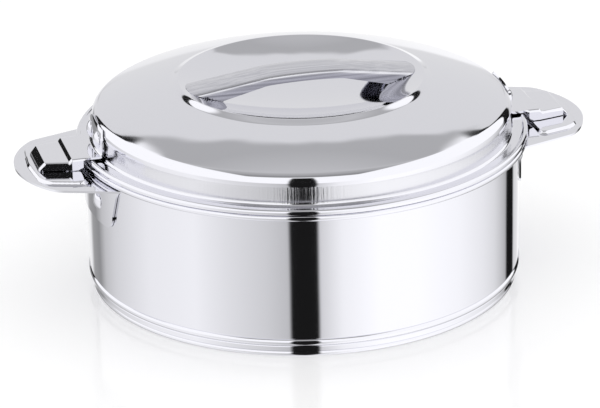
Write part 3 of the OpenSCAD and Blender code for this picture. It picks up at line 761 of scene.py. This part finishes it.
def strap_sheet():
    """Outer face of the strap as a grid: the section's crown, round edges and sides, set square to a top
    line whose slope grows round the bow and the knee and stays on the leg. Every line of it ends on
    the recess."""
    reach, fine = 70, 0.05
    x = np.linspace(0, reach, round(reach / fine) + 1)
    bow, leg = math.sin(math.radians(BOW_DEG)), math.sin(math.radians(LEG_DEG))
    bow_x = BOW_R * bow
    knee_x = bow_x + KNEE_R * (leg - bow)
    lean = np.arcsin(np.interp(x, [0, bow_x, knee_x, reach], [0, bow, leg, leg]))
    top = STRAP_Z - np.r_[0, np.cumsum((np.tan(lean[1:]) + np.tan(lean[:-1])) / 2 * fine)]
    crown = np.linspace(0, STRAP_HALF - EDGE_R + 0.5, 12)
    edge = arc((STRAP_HALF - EDGE_R, -EDGE_DROP), EDGE_R, 78, 0, 10)
    skirt = np.linspace(0, 1, 9)[1:]
    q = np.r_[crown[:-1], edge[:, 0], np.full(len(skirt), STRAP_HALF)]
    bulge = CROWN_DROP * (crown[:-1] / crown[-1]) ** 2
    drop = np.r_[bulge, -edge[:, 1], np.full(len(skirt), EDGE_DROP)]
    part = np.r_[np.zeros(len(q) - len(skirt)), skirt]
    q = np.r_[-q[:0:-1], q]
    drop, part = (np.r_[v[:0:-1], v] for v in (drop, part))
    air = top[:, None] - drop - dish_at(np.hypot(x[:, None], q)) - STRAP_GAP
    end = x[np.argmax(air < 0, 0)]
    # Rows lie closer together toward the ends
    s = np.linspace(-1, 1, 201)[:, None]
    s = s * (1 + 0.3 * (1 - s * s))
    at = np.abs(s) * end
    side = SIDE_MID + (SIDE_END - SIDE_MID) * np.clip((at - knee_x) / (STRAP_END_R - knee_x), 0, 1)
    depth = drop + part * (side - EDGE_DROP)
    a = np.interp(at, x, lean)
    along = np.sign(s) * (at - depth * np.sin(a))
    z = np.interp(at, x, top) - depth * np.cos(a)
    y = q + 0 * s
    z = np.maximum(z, dish_at(np.hypot(along, y)) + STRAP_GAP)
    return np.stack([along, y, z], -1)


def drawn_parts(tree, dark, pale):
    """Lines drawn along the strap, about 1.2 mm apart: noise stretched along X shades the colour and the
    haze."""
    grain = noise(tree, (14.0, 820.0, 820.0), 2.0)
    return {
        "Base Color": tinted(tree, ranged(tree, grain, 0.0, 1.0, 0.35, 0.65), dark, pale),
        "Roughness": ranged(tree, grain, 0.10, 0.22),
    }


# Stainless with its drawing lines left in: streaked along the strap, and painted a shade darker than
# the mirror finish: painted shade for the grey of the roof panel that the crown reflects
drawn_steel_painted_shade = material(
    "drawn_stainless_painted_shade", {"Metallic": 1.0}, lambda tree: drawn_parts(tree, "C2C2CA", "D8D8DE")
)
# The turned-down sides: as streaked, and painted darker still, painted shade for the grey that they reflect
side_steel_painted_shade = material(
    "strap_sides_painted_shade", {"Metallic": 1.0}, lambda tree: drawn_parts(tree, "86868E", "B0B0B8")
)
strap = strap_sheet()
lid_handle = piece(
    "lid_handle", strap, quads(*strap.shape[:2]), "lid", "polished_steel", ["lid_handle"],
    [drawn_steel_painted_shade, side_steel_painted_shade], solid=False,
)
# The sides take the darker colour, painted shade for the grey they reflect
finish_zone(lid_handle, 1, lambda r, z, x, y: np.abs(y) > STRAP_HALF - 0.2)
thickened(lid_handle, STRAP_T, 0.2)

# ---------------------------------------------------------------- lid brackets
# A riveted bracket on each side of the lid, pressed from 1.2 mm stainless: a tongue hugs the
# shoulder and skirt, turns out over the hem as a shelf, steps down and ends in a sloping lip. Its
# sides are turned down and rest just above the handle.
TONGUE_R = SKIRT_R + 0.3 + PLATE
HUG_R = SHOULDER_R + 0.3 + PLATE
TONGUE_BEND = 1.6
SHELF_Z = RIM_Z + 4.7
TREAD_Z = SHELF_Z - 1.8
STEP_X, TREAD_X = RIM_R + 7.4, RIM_R + 21.8
LIP_Z = EAR_Z + PANEL_H + 0.4
TONGUE_HALF, END_HALF, SIDE_BEND = 18.0, 14.5, 1.3
TONGUE_CORNER = 9.0


def bracket_line():
    """Side view of the bracket's outer face, as reach and height, from the tongue's top to the lip's foot."""
    line = np.vstack([
        arc(shoulder_c, HUG_R, 42, 0, 16),
        arc((TONGUE_R + TONGUE_BEND, SHELF_Z + TONGUE_BEND), TONGUE_BEND, 180, 270, 8),
        np.stack([np.linspace(RIM_R - 2.2, RIM_R + 1.2, 9), np.full(9, SHELF_Z)], 1),
        arc((STEP_X - 0.5, SHELF_Z - 1), 1, 90, 48, 4),
        arc((STEP_X + 2.0, TREAD_Z + 1), 1, 228, 270, 4),
        arc((TREAD_X - 0.5, TREAD_Z - 1), 1, 90, 45, 4),
        [[TREAD_X + 2.9, LIP_Z + 1.4], [TREAD_X + 3.4, LIP_Z + 0.6], [TREAD_X + 3.4, LIP_Z]],
    ])
    line = held(line, 0.25, 1.5)
    run = np.hypot(*np.diff(line, axis=0).T)
    middles = (line[:-1] + line[1:]) / 2
    return np.insert(line, np.flatnonzero(run > 3) + 1, middles[run > 3], 0)


def bracket_sheet():
    """Outer face of a bracket as a grid, and its faces: rows follow the side view, on the lid's cylinder
    at first and straight further out; columns run up one side, round its bend, over the top and down
    again. The sides' faces are kept only on the outer part."""
    line = bracket_line()
    reach, z = line[:, :1], line[:, 1:]
    corner_z = shoulder_c[1] - 3.5
    rounded = np.sqrt(np.maximum(TONGUE_CORNER ** 2 - (z - corner_z) ** 2, 0))
    half = np.where(z > corner_z, TONGUE_HALF - TONGUE_CORNER + rounded, TONGUE_HALF)
    half = half - (TONGUE_HALF - END_HALF) * np.clip((reach - STEP_X) / (TREAD_X - STEP_X), 0, 1.3)
    box_x = RIM_R + 0.9
    boxed = reach > box_x
    bend = SIDE_BEND * smooth((reach - RIM_R + 2) / 2.9)
    side_cols, bend_cols = 6, 6
    a = np.radians(np.linspace(0, 90, bend_cols))
    flat = np.linspace(-1, 1, 41)
    down = np.linspace(0, 1, side_cols + 1)[1:]
    y = np.hstack([
        half + 0 * down, half - bend + bend * np.sin(a[::-1]), (half - bend) * flat[1:-1],
        half - bend + bend * np.sin(a), half + 0 * down,
    ])
    y[:, :side_cols + bend_cols] *= -1
    foot = np.where(boxed, np.maximum(z - bend - LIP_Z, 0), 0)
    near = np.sqrt(np.clip(1 - (1 - np.clip((reach - box_x) / 2.5, 0, 1)) ** 2, 0, 1))
    foot = foot * (0.45 + 0.55 * near)
    rise = z - bend * (1 - np.cos(a))
    tail = z - bend - foot * down
    up = np.hstack([tail[:, ::-1], rise[:, ::-1], z + 0 * flat[1:-1], rise, tail])
    straight = smooth((reach - TONGUE_R - 1) / 7)
    x = (1 - straight) * np.sqrt(np.maximum(reach ** 2 - y ** 2, 0)) + straight * reach
    grid = np.stack([x, y, up], -1)
    faces = quads(*grid.shape[:2])
    row, col = faces[:, 0] // grid.shape[1], faces[:, 0] % grid.shape[1]
    on_side = (col < side_cols) | (col >= grid.shape[1] - 1 - side_cols)
    inner = ~(boxed[row, 0] & boxed[row + 1, 0])
    end = reach[row + 1, 0] > TREAD_X + 1.3
    return grid, faces[~(on_side & (inner | end))]


bracket, bracket_faces = bracket_sheet()
for side, way in HALF_TURN.items():
    thickened(
        piece(
            f"lid_bracket_{side}", bracket * way, bracket_faces, "lid", "polished_steel",
            [f"lid_bracket_{side}"], [mirror_steel], solid=False,
        ),
        PLATE, 0.25,
    )

# ---------------------------------------------------------------- bracket rivets
# Two more domed stainless rivets through each tongue and the lid's skirt.
BRACKET_RIVET_Y = 9.2
bracket_deg = math.degrees(math.asin(BRACKET_RIVET_Y / TONGUE_R))
rivets("bracket_rivet", "lid", TONGUE_R, 4.8, 2.0, bracket_deg, shoulder_c[1] - 2.4)
